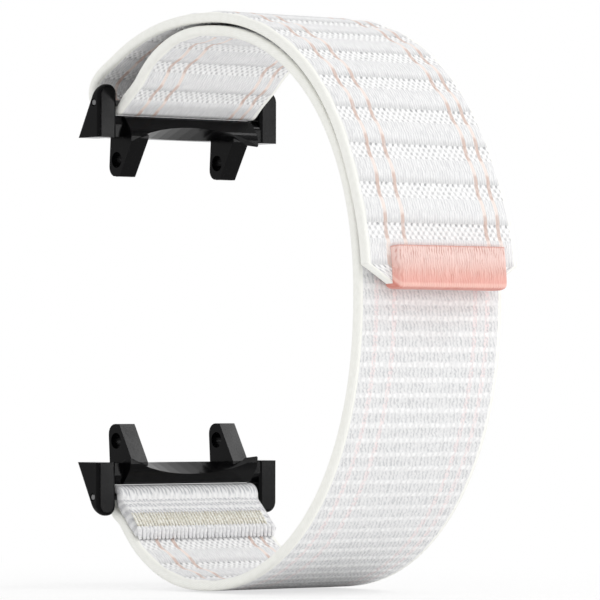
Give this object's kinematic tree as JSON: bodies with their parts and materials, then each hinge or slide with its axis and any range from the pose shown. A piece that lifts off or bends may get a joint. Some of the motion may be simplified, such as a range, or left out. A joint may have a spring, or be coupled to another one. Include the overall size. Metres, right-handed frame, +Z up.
{
  "type": "hook and loop watch strap",
  "caption": "Padded nylon webbing watch strap that folds round a bar and closes on itself with a hook-and-loop flap, with moulded adapters that pin to a watch at both ends",
  "frame": {"origin": "Axis of the wrist, level with the middle of the watch and in the middle of the strap's width", "axes": "+X towards the clasp side, away from the watch; +Y across the strap, along the wrist; +Z up, from the lower adapter to the upper one"},
  "size_m": [0.0528, 0.0274, 0.0672],
  "materials": {
    "nylon_webbing": "woven nylon, padded cross ribs between sewn rows",
    "seam_thread": "beige stitching",
    "hook_tape": "white hook tape",
    "coral_thread": "satin coral thread",
    "black_plastic": "black moulding with a soft sheen",
    "steel": "turned steel bar"
  },
  "bodies": {
    "band": {"inner_run": "nylon_webbing", "upper_fold": "nylon_webbing", "seam_thread": "seam_thread"},
    "crown": {"flap_crown": "nylon_webbing"},
    "shoulder": {"flap_shoulder": "nylon_webbing"},
    "side": {"flap_side": "nylon_webbing"},
    "tail": {"flap_tail": "nylon_webbing", "hook_patch": "hook_tape", "end_tab": "coral_thread"},
    "upper_end": {"upper_adapter": "black_plastic", "upper_bar": "steel"},
    "lower_end": {"lower_adapter": "black_plastic", "lower_bar": "steel"}
  },
  "joints": [
    {"name": "flap_lift", "type": "hinge", "parent": "band", "child": "crown", "pos_m": [-0.01953, 0, 0.029], "axis": [0, -1, 0], "range_deg": [0, 30]},
    {"name": "shoulder_bend", "type": "hinge", "parent": "crown", "child": "shoulder", "pos_m": [-0.003, 0, 0.03315], "axis": [0, -1, 0], "range_deg": [0, 30]},
    {"name": "side_bend", "type": "hinge", "parent": "shoulder", "child": "side", "pos_m": [0.01488, 0, 0.02745], "axis": [0, -1, 0], "range_deg": [0, 30]},
    {"name": "tail_peel", "type": "hinge", "parent": "side", "child": "tail", "pos_m": [0.02416, 0, 0.01519], "axis": [0, -1, 0], "range_deg": [0, 50]},
    {"name": "upper_adapter_swivel", "type": "hinge", "parent": "band", "child": "upper_end", "pos_m": [-0.0193, 0, 0.0233], "axis": [0, -1, 0], "range_deg": [0, 30]},
    {"name": "lower_adapter_swivel", "type": "hinge", "parent": "band", "child": "lower_end", "pos_m": [-0.0193, 0, -0.0233], "axis": [0, 1, 0], "range_deg": [-45, 45]}
  ],
  "couplings": [
    {"joint": "shoulder_bend", "follows": "flap_lift", "ratio": 1},
    {"joint": "side_bend", "follows": "flap_lift", "ratio": 1}
  ]
}
